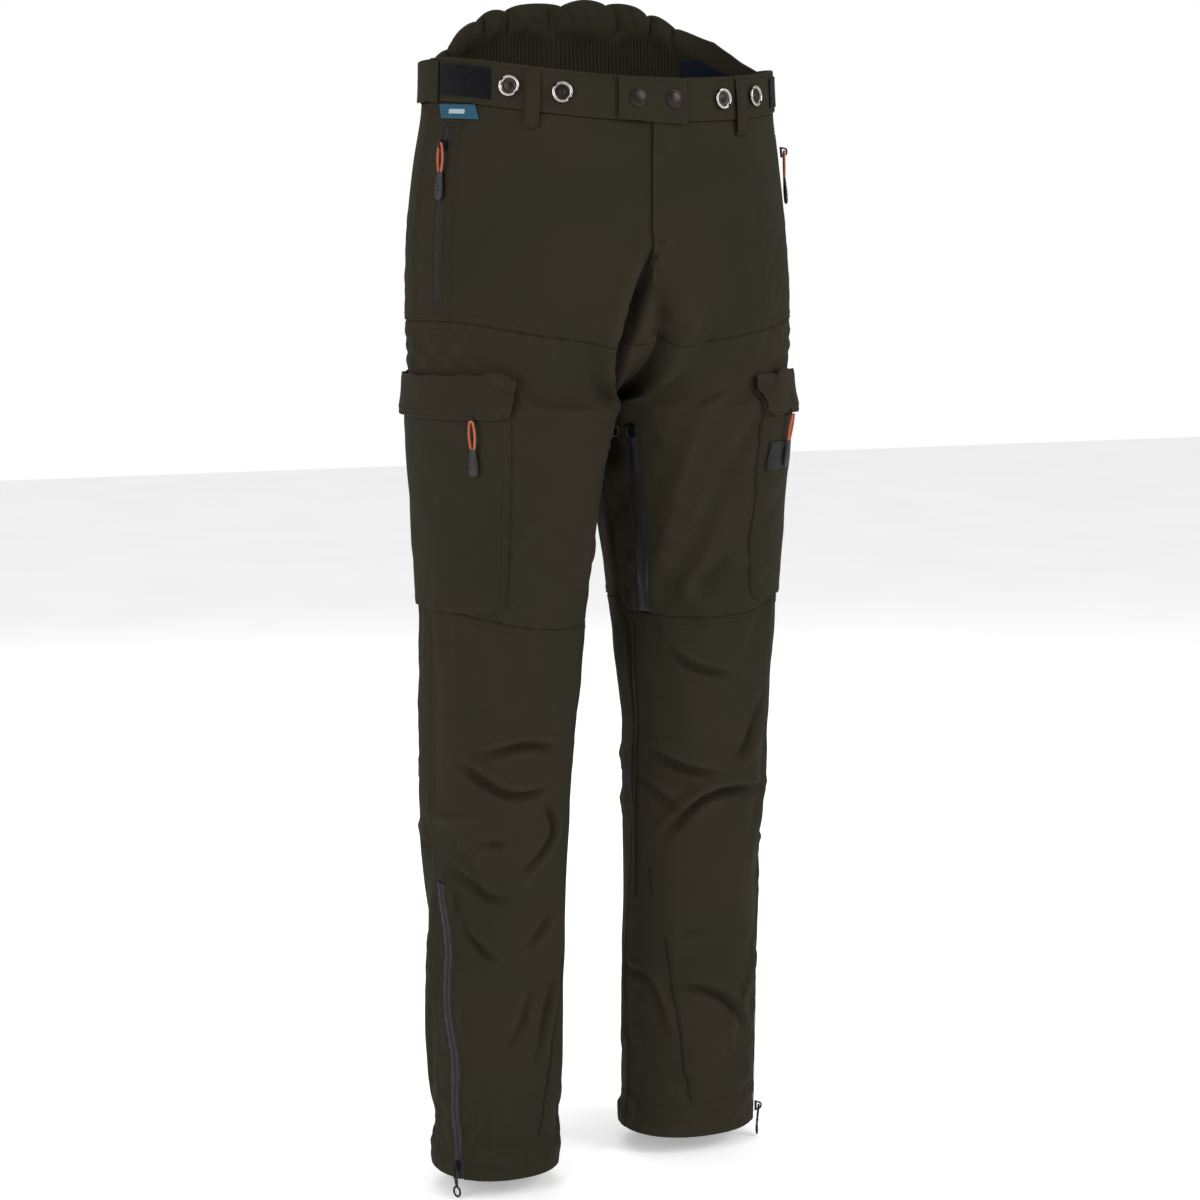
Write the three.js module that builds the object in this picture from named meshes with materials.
// Chainsaw protection trousers, standing as if worn, in millimetres.
// +Z is up, the front faces -Y and the right leg is on -X. Heights are measured from the hem, and the
// whole group is then lifted so that the lowest zip pull sits at Z = 0.
import * as THREE from "three";

// ---------------------------------------------------------------- driving sizes

const WAISTBAND = 40; // height of the waistband
const WAIST_TOP_FRONT = 1077; // top of the waistband at the centre front
const WAIST_TOP_SIDE = 1096; // top of the waistband over the hip
const BACK_RISE = 70; // how far the back stands above the sides
const HIP_Z = 862; // where the two halves start to part
const CROTCH_Z = 765;
const YOKE_SEAM_SIDE = 849; // seam between the front yoke and the thigh panel, at the outseam
const YOKE_SEAM_DIP = 23; // how much lower that seam is at the centre front
const KNEE_TOP = 556; // seam above the knee
const KNEE_BOTTOM = 300; // end of the stretch that bends with the knee
const STRIDE = 30; // the right hem stands this far in front of the left hem
const HANG_BELOW_HEM = 16.9; // how far the leg zip pulls hang below the hem
const CENTRE_SHIFT_Y = -4; // brings the middle of the depth to Y = 0

const CLOTH = 1.5; // thickness of the outer cloth
const SEAM_GAP = 0.5; // each panel stops this far short of its seam
const CENTRE_GAP = 0.25; // clearance of each half to the centre plane
const PART_GAP = 0.3; // clearance under a part that is fastened to the cloth
const BAND_IN = -1; // waistband inner face, from the body surface
const BAND_OUT = 2; // waistband outer face
const SQUARENESS = 2.2; // exponent of the superellipse sections, where 2 is an ellipse
const TRUNK_TOP = 1170; // the trunk's sections end here, above the back rise

// Sections of each leg, from the hem up: height, centre x and y, half width, half depth. The left leg hangs
// a little fuller than the right one.
const LEG = {
  right: [
    [0, 116, 21, 63, 62],
    [150, 116.5, 19, 64.5, 66],
    [300, 116.5, 14, 67, 72],
    [440, 115, 7, 72, 78],
    [560, 107.5, 6, 78.5, 86],
    [660, 102, 7, 86, 97],
    [CROTCH_Z, 95.5, 9, 95.5, 112],
  ],
  left: [
    [0, 120.5, 21, 71.5, 63],
    [150, 119.5, 19, 71, 67],
    [300, 117.5, 14, 71.5, 73],
    [440, 114, 7, 74, 78],
    [560, 111.5, 6, 81, 86],
    [660, 106.5, 7, 89.5, 97],
    [CROTCH_Z, 101.5, 9, 101.5, 112],
  ],
};
// Sections of each side of the trunk, from the crotch up: height, centre y, half width, half depth.
const TRUNK = {
  right: [
    [CROTCH_Z, 9, 190, 118],
    [850, 9, 196, 122],
    [930, 6, 196, 120],
    [1000, 2, 190, 116],
    [1050, 0, 182, 114],
    [1100, 2, 179, 113],
    [TRUNK_TOP, 6, 176, 110],
  ],
  left: [
    [CROTCH_Z, 9, 202, 118],
    [850, 9, 208, 122],
    [930, 6, 201, 120],
    [1000, 2, 190, 116],
    [1050, 0, 182, 114],
    [1100, 2, 180, 113],
    [TRUNK_TOP, 6, 178, 110],
  ],
};

// ---------------------------------------------------------------- materials

const material = (color, roughness, metalness = 0) =>
  new THREE.MeshStandardMaterial({ color, roughness, metalness });
const cloth = material(0x33312a, 0.9);
const elastic = material(0x2a2721, 0.95);
const protectivePad = material(0xb9a36a, 0.95);
const fuzzyTape = material(0x17171a, 1);
const zipTape = material(0x1d1e22, 0.6);
const cord = material(0xc9582a, 0.7);
const blackMetal = material(0x2b2b2d, 0.45, 0.8);
const steel = material(0xb8b4ad, 0.3, 1);

// ---------------------------------------------------------------- the body surface

const table = (rows) =>
  new THREE.CubicInterpolant(
    rows.map((row) => row[0]),
    rows.flatMap((row) => row.slice(1)),
    rows[0].length - 1,
  );
const bySide = (tables) => ({ [-1]: table(tables.right), 1: table(tables.left) });
const legTable = bySide(LEG);
const trunkTable = bySide(TRUNK);
const within = (x, low, high) => Math.min(high, Math.max(low, x));
const smooth = (x, low, high) => THREE.MathUtils.smoothstep(x, low, high);
const squared = (x) => Math.sign(x) * Math.abs(x) ** (2 / SQUARENESS);

// The surface of one half in its own positive x. t runs from the centre front (or the inseam, below the
// crotch) at 0, over the outseam at 0.5, to the centre back at 1.
function halfPoint(side, t, z) {
  const [trunkY, width, depth] = trunkTable[side].evaluate(within(z, CROTCH_Z, TRUNK_TOP));
  const trunkX = width * squared(Math.sin(Math.PI * t));
  const trunkFront = trunkY - depth * squared(Math.cos(Math.PI * t));
  const [legX, legY, halfWidth, halfDepth] = legTable[side].evaluate(within(z, 0, CROTCH_Z));
  const loopX = legX - halfWidth * squared(Math.cos(2 * Math.PI * t));
  const loopY = legY - halfDepth * squared(Math.sin(2 * Math.PI * t));
  const drop = within((HIP_Z - z) / (HIP_Z - CROTCH_Z), 0, 1);
  const parted = drop * drop;
  const mix = THREE.MathUtils.lerp;
  return [mix(trunkX, loopX, parted), mix(trunkFront, loopY, parted)];
}

// s is t on the left half and -t on the right half, so s grows round the body the same way everywhere.
function surface(s, z) {
  const around = s > 1 ? s - 2 : s;
  const side = around < 0 ? -1 : 1;
  const [x, y] = halfPoint(side, Math.abs(around), z);
  const stride = (side * STRIDE * (1 - within(z, 0, CROTCH_Z) / CROTCH_Z)) / 2;
  return new THREE.Vector3(side * x, y + stride, z);
}

// The outward direction. At the seams where a half begins and ends it is taken a little inside that half.
function normal(s, z) {
  const step = 1e-3;
  const nearSeam = Math.min(Math.abs(s), Math.abs(Math.abs(s) - 1)) < 2 * step;
  const margin = nearSeam ? 4 * step : step;
  const inset = Math.sign(s || 1) * within(Math.abs(s), margin, s > 1 ? 2 : 1 - margin);
  const along = surface(inset + step, z).sub(surface(inset - step, z));
  const up = surface(inset, z + 1).sub(surface(inset, z - 1));
  return along.cross(up).normalize();
}

const onBody = (s, z, offset) => surface(s, z).addScaledVector(normal(s, z), offset);

// The s that lies `ahead` mm in front of the outseam at height z, along the surface.
function aheadOfOutseam(side, z, ahead) {
  const step = 0.002;
  let t = 0.5;
  let travelled = 0;
  let [x, y] = halfPoint(side, t, z);
  while (travelled < Math.abs(ahead) && t > step && t < 1 - step) {
    t -= step * Math.sign(ahead);
    const [nextX, nextY] = halfPoint(side, t, z);
    travelled += Math.hypot(nextX - x, nextY - y);
    [x, y] = [nextX, nextY];
  }
  return side * t;
}

// Axes at a point of the body: X round the body, Y up the surface, Z outwards.
function frameOn(s, z, offset) {
  const out = normal(s, z);
  const up = new THREE.Vector3(0, 0, 1).addScaledVector(out, -out.z).normalize();
  const around = up.clone().cross(out);
  return new THREE.Matrix4().makeBasis(around, up, out).setPosition(onBody(s, z, offset));
}

// Upright axes at a point of the body, for what turns about an upright line.
const uprightFrame = (s, z, offset) => new THREE.Matrix4().setPosition(onBody(s, z, offset));

// ---------------------------------------------------------------- making solids

const trousers = new THREE.Group();

function addMesh(name, geometry, look, frame = new THREE.Matrix4()) {
  const mesh = new THREE.Mesh(geometry, look);
  mesh.name = name;
  mesh.applyMatrix4(frame);
  trousers.add(mesh);
  return mesh;
}

// A body shaped in place, but whose own origin and axes are those of the joint it turns on.
const addMoving = (name, geometry, look, frame) =>
  addMesh(name, geometry.applyMatrix4(frame.clone().invert()), look, frame);

// A closed sheet that follows the body: place(u, v) gives [s, z] for u and v in 0 to 1, and `inner` and
// `outer` give its two faces' offsets, as numbers or as functions of u and v. A ring closes on itself in u.
function sheet(place, { across, rows, inner, outer, ring = false, half = 0 }) {
  const points = [];
  const index = [];
  const columns = ring ? across : across + 1;
  const offsetAt = (offset, u, v) => (typeof offset === "function" ? offset(u, v) : offset);
  for (const face of [outer, inner])
    for (let j = 0; j <= rows; j++)
      for (let i = 0; i < columns; i++) {
        const [u, v] = [i / across, j / rows];
        const point = onBody(...place(u, v), offsetAt(face, u, v));
        if (half) point.x = half * Math.max(CENTRE_GAP, half * point.x);
        points.push(...point.toArray());
      }
  const at = (face, i, j) => face * columns * (rows + 1) + j * columns + (i % columns);
  const quad = (a, b, c, d) => index.push(a, b, c, a, c, d);
  for (let j = 0; j < rows; j++)
    for (let i = 0; i < across; i++) {
      quad(at(0, i, j), at(0, i + 1, j), at(0, i + 1, j + 1), at(0, i, j + 1));
      quad(at(1, i, j), at(1, i, j + 1), at(1, i + 1, j + 1), at(1, i + 1, j));
    }
  for (let i = 0; i < across; i++) {
    quad(at(1, i, 0), at(1, i + 1, 0), at(0, i + 1, 0), at(0, i, 0));
    quad(at(0, i, rows), at(0, i + 1, rows), at(1, i + 1, rows), at(1, i, rows));
  }
  for (let j = 0; j < rows && !ring; j++) {
    quad(at(0, 0, j), at(0, 0, j + 1), at(1, 0, j + 1), at(1, 0, j));
    quad(at(0, across, j), at(1, across, j), at(1, across, j + 1), at(0, across, j + 1));
  }
  return new THREE.BufferGeometry()
    .setAttribute("position", new THREE.Float32BufferAttribute(points, 3))
    .setIndex(index);
}

const between = (low, high) => (share) => low + (high - low) * share;

// A turned piece on a point of the body, from [radius, height] pairs that start and end on the axis.
function turned(name, profile, look, s, z, offset) {
  const outline = profile.map(([radius, height]) => new THREE.Vector2(radius, height));
  const geometry = new THREE.LatheGeometry(outline, 16).rotateX(Math.PI / 2);
  return addMesh(name, geometry, look, frameOn(s, z, offset));
}

// ---------------------------------------------------------------- shared outlines

const waistTop = (t) => {
  const front = WAIST_TOP_FRONT + (WAIST_TOP_SIDE - WAIST_TOP_FRONT) * smooth(t, 0, 0.5);
  return front + BACK_RISE * smooth(t, 0.55, 0.95);
};
const waistSeam = (t) => waistTop(Math.min(t, 0.5)) - WAISTBAND;
const yokeSeam = (t) => YOKE_SEAM_SIDE - YOKE_SEAM_DIP * (1 - smooth(t, 0, 0.4));
const sides = [
  ["right", -1],
  ["left", 1],
];

// ---------------------------------------------------------------- trunk and leg panels

// A panel of one half between two t values and two seams. On the right half u runs from the far t to the near
// one, so that s always grows with u.
function panel(name, side, look, [near, far], [bottom, top], size) {
  const tAt = side > 0 ? between(near, far) : between(far, near);
  const place = (u, v) => {
    const t = tAt(u);
    const low = bottom(t) + SEAM_GAP;
    const high = top(t) - SEAM_GAP;
    return [side * t, low + (high - low) * v];
  };
  return addMesh(name, sheet(place, { inner: -CLOTH, outer: 0, half: side, ...size }), look);
}

const EDGE = 0.0015; // half of the gap at a lengthwise seam, as a share of the half loop
for (const [name, side] of sides) {
  const front = [EDGE, 0.5 - EDGE];
  const back = [0.5 + EDGE, 1 - EDGE];
  const kneeTop = () => KNEE_TOP;
  panel(`front_yoke_${name}`, side, cloth, front, [yokeSeam, waistSeam], { across: 12, rows: 5 });
  panel(`thigh_front_${name}`, side, cloth, front, [kneeTop, yokeSeam], { across: 13, rows: 12 });
  panel(`back_panel_${name}`, side, cloth, back, [kneeTop, waistSeam], { across: 11, rows: 16 });
}

// A tube of one leg between two heights.
function legTube(name, side, low, high, rows) {
  const place = (u, v) => [side > 0 ? u : u - 1, low + (high - low) * v];
  const shape = { across: 22, rows, inner: -CLOTH, outer: 0, ring: true };
  return addMesh(name, sheet(place, shape), cloth);
}
for (const [name, side] of sides) {
  legTube(`knee_${name}`, side, KNEE_BOTTOM + SEAM_GAP, KNEE_TOP - SEAM_GAP, 5);
  legTube(`lower_leg_${name}`, side, 0, KNEE_BOTTOM - SEAM_GAP, 4);
}

// The saw protection: a thick quilt of fibre layers that hangs inside the front of each leg.
const PAD = { near: 0.1, far: 0.46, bottom: 45, top: 760, outer: -6.5, thick: 6 };
for (const [name, side] of sides) {
  const tAt = side > 0 ? between(PAD.near, PAD.far) : between(PAD.far, PAD.near);
  const place = (u, v) => [side * tAt(u), between(PAD.bottom, PAD.top)(v)];
  const shape = { across: 9, rows: 14, inner: PAD.outer - PAD.thick, outer: PAD.outer, half: side };
  addMesh(`saw_pad_${name}`, sheet(place, shape), protectivePad);
}

// ---------------------------------------------------------------- waistband

const TAB_START = -0.059; // free end of the waist tab, on the right half
const TAB_END = 0.048; // where it is sewn to the left waistband
const FRONT_JOIN = 0.046; // where the right waistband ends and the left one begins, under the tab
const SIDE_JOIN = 0.5; // where the waistband meets the elastic back rise
const bandPlace = (from, to, margin = 0) => (u, v) => {
  const s = between(from, to)(u);
  const t = Math.abs(s > 1 ? s - 2 : s);
  const low = waistSeam(t) + SEAM_GAP + margin;
  const high = waistTop(t) - margin;
  return [s, low + (high - low) * v];
};
const band = { rows: 2, inner: BAND_IN, outer: BAND_OUT };
const joinGap = 0.002;
const rightBand = bandPlace(-SIDE_JOIN + joinGap, FRONT_JOIN - 2 * joinGap);
const leftBand = bandPlace(FRONT_JOIN + 2 * joinGap, SIDE_JOIN - joinGap);
const backBand = bandPlace(SIDE_JOIN + joinGap, 2 - SIDE_JOIN - joinGap);
addMesh("waistband_right", sheet(rightBand, { ...band, across: 16 }), cloth);
addMesh("waistband_left", sheet(leftBand, { ...band, across: 13 }), cloth);
addMesh("elastic_back_rise", sheet(backBand, { ...band, rows: 4, across: 26 }), elastic);

// The tab carries the two press studs and turns about an upright line at its sewn end.
const TAB_IN = 4.2;
const TAB_OUT = 6.2;
const bandMiddle = (s) => waistTop(Math.abs(s)) - WAISTBAND / 2;
const tab = { across: 5, rows: 2, inner: TAB_IN, outer: TAB_OUT };
const tabHinge = uprightFrame(TAB_END, bandMiddle(TAB_END), (TAB_IN + TAB_OUT) / 2);
addMoving("waist_tab", sheet(bandPlace(TAB_START, TAB_END, 0.5), tab), cloth, tabHinge);

const STUDS = [-0.029, 0.025];
const CAP = [
  [0, 0],
  [8.6, 0],
  [8.6, 0.8],
  [6.4, 2],
  [0, 2.5],
];
STUDS.forEach((s, i) => {
  turned(`press_stud_cap_${i + 1}`, CAP, blackMetal, s, bandMiddle(s), TAB_OUT + PART_GAP);
});
// The two matching studs stand on one stiffening strip on the waistband, under the tab.
const STUD_STRIP = { from: -0.04, to: 0.036, height: 12, inner: 2.4, outer: 2.9, stud: 3.8 };
{
  const studAt = (u) => Math.abs(Math.abs(u - 0.5) - 0.3) < 0.12;
  const raised = (u) => (studAt(u) ? STUD_STRIP.stud : STUD_STRIP.outer);
  const along = between(STUD_STRIP.from, STUD_STRIP.to);
  const place = (u, v) => [along(u), bandMiddle(0) + STUD_STRIP.height * (v - 0.5)];
  const shape = { across: 10, rows: 1, inner: STUD_STRIP.inner, outer: raised };
  addMesh("stud_strip", sheet(place, shape), blackMetal);
}

// Open-topped buttons for braces.
const BUTTON = [
  [0, 0],
  [4.5, 0],
  [5, 1.2],
  [9.4, 1.4],
  [10, 2.6],
  [9, 3.8],
  [6.2, 3.8],
  [5, 2.4],
  [0, 2.4],
];
const BUTTON_PLACES = [-0.26, -0.157, 0.126, 0.222];
BUTTON_PLACES.forEach((s, i) => {
  turned(`brace_button_${i + 1}`, BUTTON, steel, s, bandMiddle(s), BAND_OUT + PART_GAP);
});

// Belt loops: strips that stand off the waistband in the middle and reach a little below it.
const BELT_LOOP = { width: 0.033, below: 16, inner: 2.9, outer: 5, bow: 2.6 }; // width as a share of s
const LOOP_PLACES = [
  ["front_right", -0.212],
  ["front_left", 0.174],
  ["back_right", -0.8],
  ["back_left", 0.8],
];
for (const [name, s] of LOOP_PLACES) {
  const seam = waistSeam(Math.abs(s));
  const z = between(seam - BELT_LOOP.below, seam + WAISTBAND - 1);
  const place = (u, v) => [s + BELT_LOOP.width * (u - 0.5), z(v)];
  const bowed = (base) => (u, v) => base + BELT_LOOP.bow * Math.sin(Math.PI * v);
  const faces = { inner: bowed(BELT_LOOP.inner), outer: bowed(BELT_LOOP.outer) };
  addMesh(`belt_loop_${name}`, sheet(place, { across: 2, rows: 6, ...faces }), cloth);
}

// Hook-and-loop side adjusters: a fuzzy patch on the waistband, and a tab from the back that grips it.
const PATCH = { from: 0.306, to: 0.43, height: 29, inner: 2.5, outer: 3.6 };
const STRAP = { from: 0.437, to: 0.6, height: 37, inner: 2.8, outer: 4.8 };
for (const [name, side] of sides) {
  const alongSide = ({ from, to }) => (side > 0 ? between(from, to) : between(-to, -from));
  const patch = (u, v) => {
    const s = alongSide(PATCH)(u);
    return [s, bandMiddle(s) + PATCH.height * (v - 0.5)];
  };
  const patchShape = { across: 4, rows: 1, inner: PATCH.inner, outer: PATCH.outer };
  addMesh(`loop_patch_${name}`, sheet(patch, patchShape), fuzzyTape);
  const strapMiddle = bandMiddle(0.5);
  const strap = (u, v) => [alongSide(STRAP)(u), strapMiddle + STRAP.height * (v - 0.5)];
  const strapShape = { across: 5, rows: 2, inner: STRAP.inner, outer: STRAP.outer };
  const strapHinge = uprightFrame(side * STRAP.to, strapMiddle, (STRAP.inner + STRAP.outer) / 2);
  addMoving(`adjuster_tab_${name}`, sheet(strap, strapShape), cloth, strapHinge);
}

// ---------------------------------------------------------------- zips

// Heights over the tape: the slider's shoulder, its eye, the pull's bar in the eye, and its top.
const BRIDGE = { shoulder: 2.2, low: 2.7, barLow: 3.2, barHigh: 5.2, high: 5.8, top: 7.2 };

// A zip slider seen from the side, extruded to its width: a body with a bridge that holds the pull's bar.
// The profile's x becomes the zip's direction, its y the height off the cloth.
function sliderGeometry(width, length) {
  const profile = new THREE.Shape();
  const end = length / 2;
  profile.moveTo(-end, 0);
  profile.lineTo(end, 0);
  profile.lineTo(end, BRIDGE.shoulder);
  profile.lineTo(3.6, BRIDGE.top - 0.8);
  profile.lineTo(2.4, BRIDGE.top);
  profile.lineTo(-3.4, BRIDGE.top);
  profile.lineTo(-end, BRIDGE.shoulder);
  const eye = new THREE.Path();
  eye.moveTo(-2.2, BRIDGE.low);
  eye.lineTo(-2.2, BRIDGE.high);
  eye.lineTo(2, BRIDGE.high);
  eye.lineTo(2, BRIDGE.low);
  profile.holes.push(eye);
  const bridge = new THREE.ExtrudeGeometry(profile, { depth: width, bevelEnabled: false });
  const basis = new THREE.Matrix4().makeBasis(
    new THREE.Vector3(0, 1, 0),
    new THREE.Vector3(0, 0, 1),
    new THREE.Vector3(1, 0, 0),
  );
  return bridge.translate(0, 0, -width / 2).applyMatrix4(basis);
}

// A pull in its own frame: the bar that lies in the bridge is the origin, and the pull hangs along -Y.
function pullGeometry({ loop, grip, gripWidth }) {
  const half = (BRIDGE.barHigh - BRIDGE.barLow) / 2;
  const [loopOutside, loopInside, round] = [3.4, 2.2, gripWidth / 2];
  const end = -loop - grip;
  const outline = new THREE.Shape();
  outline.moveTo(-loopOutside, half);
  outline.lineTo(-loopOutside, -loop);
  outline.lineTo(-round, -loop - 1.5);
  outline.lineTo(-round, end + round);
  outline.absarc(0, end + round, round, Math.PI, 2 * Math.PI, false);
  outline.lineTo(round, -loop - 1.5);
  outline.lineTo(loopOutside, -loop);
  outline.lineTo(loopOutside, half);
  const opening = new THREE.Path();
  opening.moveTo(-loopInside, -half);
  opening.lineTo(loopInside, -half);
  opening.lineTo(loopInside, -loop + 2);
  opening.lineTo(-loopInside, -loop + 2);
  outline.holes.push(opening);
  const pull = new THREE.ExtrudeGeometry(outline, {
    depth: 2 * half,
    bevelEnabled: false,
    curveSegments: 4,
  });
  return pull.translate(0, 0, -half);
}

// A zip tape along a line on the body. sAt and zAt give its middle for share 0 to 1 along it.
function zipTapeOn(name, sAt, zAt, width, { inner, outer, rows }) {
  const step = 0.01;
  const stepLength = surface(sAt(0.5), zAt(0.5)).distanceTo(surface(sAt(0.5) + step, zAt(0.5)));
  const reach = (step * width) / stepLength / 2;
  const place = (u, v) => [sAt(v) + reach * (2 * u - 1), zAt(v)];
  addMesh(name, sheet(place, { across: 2, rows, inner, outer }), zipTape);
}

const SLIDER_GAP = 0.7; // clearance of a slider over its tape, which has facets

// The straight line a slider runs on, over a tape that bulges: its frame has Y along the tape, Z outwards,
// and its origin where the slider stands at `share`.
function runFrame(sAt, zAt, share, tapeTop) {
  const [start, end] = [surface(sAt(0), zAt(0)), surface(sAt(1), zAt(1))];
  const along = end.clone().sub(start).normalize();
  const out = normal(sAt(0.5), zAt(0.5));
  out.addScaledVector(along, -out.dot(along)).normalize();
  let bulge = 0;
  for (let i = 0; i <= 10; i++) {
    const rise = surface(sAt(i / 10), zAt(i / 10)).sub(start).dot(out);
    bulge = Math.max(bulge, rise);
  }
  const origin = start.lerp(end, share).addScaledVector(out, bulge + tapeTop + SLIDER_GAP);
  return new THREE.Matrix4()
    .makeBasis(along.clone().cross(out), along, out)
    .setPosition(origin);
}

// A pull on the bar of a slider, given that slider's frame.
function addPull(name, slider, shape, look) {
  const barHeight = (BRIDGE.barLow + BRIDGE.barHigh) / 2;
  const bar = slider.clone().multiply(new THREE.Matrix4().makeTranslation(0, 0, barHeight));
  addMesh(name, pullGeometry(shape), look, bar);
}

const CORD_PULL = { loop: 25, grip: 27, gripWidth: 9 };
const RING_PULL = { loop: 14, grip: 17, gripWidth: 9 };
const TAPE = { inner: 0.9, outer: 2 };

for (const [name, side] of sides) {
  // Hand pocket in the yoke.
  const pocketS = () => side * 0.408;
  const pocketZ = between(868, 1030);
  zipTapeOn(`pocket_zip_${name}`, pocketS, pocketZ, 10, { ...TAPE, rows: 9 });
  const pocketRun = runFrame(pocketS, pocketZ, 0.9, TAPE.outer);
  addMesh(`pocket_slider_${name}`, sliderGeometry(3, 11), blackMetal, pocketRun);
  addPull(`pocket_pull_${name}`, pocketRun, CORD_PULL, cord);

  // Ventilation zip on the inner thigh, closed upwards.
  const ventS = (share) => side * between(0.066, 0.076)(share);
  const ventZ = between(KNEE_TOP + 4, 742);
  zipTapeOn(`vent_zip_${name}`, ventS, ventZ, 15, { ...TAPE, rows: 8 });
  const ventRun = runFrame(ventS, ventZ, 0.96, TAPE.outer);
  addMesh(`vent_slider_${name}`, sliderGeometry(6, 14), blackMetal, ventRun);

  // Lower leg zip, closed downwards, so its slider waits at the hem.
  const legS = (share) => side * between(0.412, 0.46)(share);
  const legZ = between(1, 296);
  zipTapeOn(`leg_zip_${name}`, legS, legZ, 12, { ...TAPE, rows: 8 });
  const legRun = runFrame(legS, legZ, 0.045, TAPE.outer);
  addMesh(`leg_slider_${name}`, sliderGeometry(3, 11), blackMetal, legRun);
  addPull(`leg_pull_${name}`, legRun, RING_PULL, blackMetal);
}

// Fly zip behind the centre front, reached when the waist tab is open.
const flyS = () => 0;
const flyZ = between(888, 1036);
const FLY_TAPE = { inner: -13.4, outer: -12, rows: 5 };
zipTapeOn("fly_zip", flyS, flyZ, 26, FLY_TAPE);
const flyRun = runFrame(flyS, flyZ, 0.9, FLY_TAPE.outer + 0.4);
addMesh("fly_slider", sliderGeometry(6, 14), blackMetal, flyRun);

// ---------------------------------------------------------------- cargo pockets

const POCKET = { front: 112, back: -84, bottom: 570, top: 783, inner: 2.4, edge: 3.4, thick: 4.6 };
const FURTHER_ROUND = { right: 0, left: 20 }; // the left pocket sits further forward
const FLAP = { bottom: 763, top: 798, inner: 5.8, outer: 7.4 };
const FLAP_HINGE_DEPTH = 8;
const CARGO_ZIP = { z: 755, width: 8, inner: 5.1, outer: 5.8, margin: 16, sliderAhead: 84 };
const CORNER_SHARE = { side: 0.2, bottom: 0.25 }; // how much of the pocket it takes to reach full depth
for (const [name, side] of sides) {
  const shift = FURTHER_ROUND[name];
  const front = POCKET.front + shift;
  const back = POCKET.back + shift;
  const ends = side > 0 ? [front, back] : [back, front];
  const wrap = (zAt, grow = 0) => (u, v) => {
    const ahead = between(ends[0] + side * grow, ends[1] - side * grow)(u);
    return [aheadOfOutseam(side, zAt(v), ahead), zAt(v)];
  };
  // The pocket is full in the middle and thin at its sewn edges, and its top lies behind the flap.
  const full = (u, v) => {
    const sideways = Math.min(1, Math.min(u, 1 - u) / CORNER_SHARE.side);
    const upwards = Math.min(1, v / CORNER_SHARE.bottom);
    return POCKET.edge + (POCKET.thick - POCKET.edge) * sideways * upwards;
  };
  const pocketShape = { across: 12, rows: 8, inner: POCKET.inner, outer: full };
  const pocketPlace = wrap(between(POCKET.bottom, POCKET.top));
  addMesh(`cargo_pocket_${name}`, sheet(pocketPlace, pocketShape), cloth);

  // The flap turns up about a level line. The line lies halfway into the flap's curve round the leg, so that
  // neither the flap's middle nor its ends move far from the seam.
  const middleS = aheadOfOutseam(side, FLAP.top, (front + back) / 2);
  const flapHinge = frameOn(middleS, FLAP.top, -FLAP_HINGE_DEPTH);
  const flapShape = { across: 12, rows: 2, inner: FLAP.inner, outer: FLAP.outer };
  const flap = sheet(wrap(between(FLAP.bottom, FLAP.top), 1.5), flapShape);
  addMoving(`cargo_flap_${name}`, flap, cloth, flapHinge);

  // The pocket's zip runs round the leg just under the flap.
  const zipBand = wrap((v) => CARGO_ZIP.z + CARGO_ZIP.width * (v - 0.5), -CARGO_ZIP.margin);
  const zipShape = { across: 12, rows: 1, inner: CARGO_ZIP.inner, outer: CARGO_ZIP.outer };
  addMesh(`cargo_zip_${name}`, sheet(zipBand, zipShape), zipTape);

  // Its slider turns about the upright centre line of the zip's arc.
  const restS = aheadOfOutseam(side, CARGO_ZIP.z, CARGO_ZIP.sliderAhead + shift);
  const slider = frameOn(restS, CARGO_ZIP.z, CARGO_ZIP.outer + 1.6);
  addMesh(`cargo_slider_${name}`, sliderGeometry(3, 11), blackMetal, slider);
  addPull(`cargo_pull_${name}`, slider, CORD_PULL, cord);
}

trousers.position.set(0, CENTRE_SHIFT_Y, HANG_BELOW_HEM);

export default trousers;
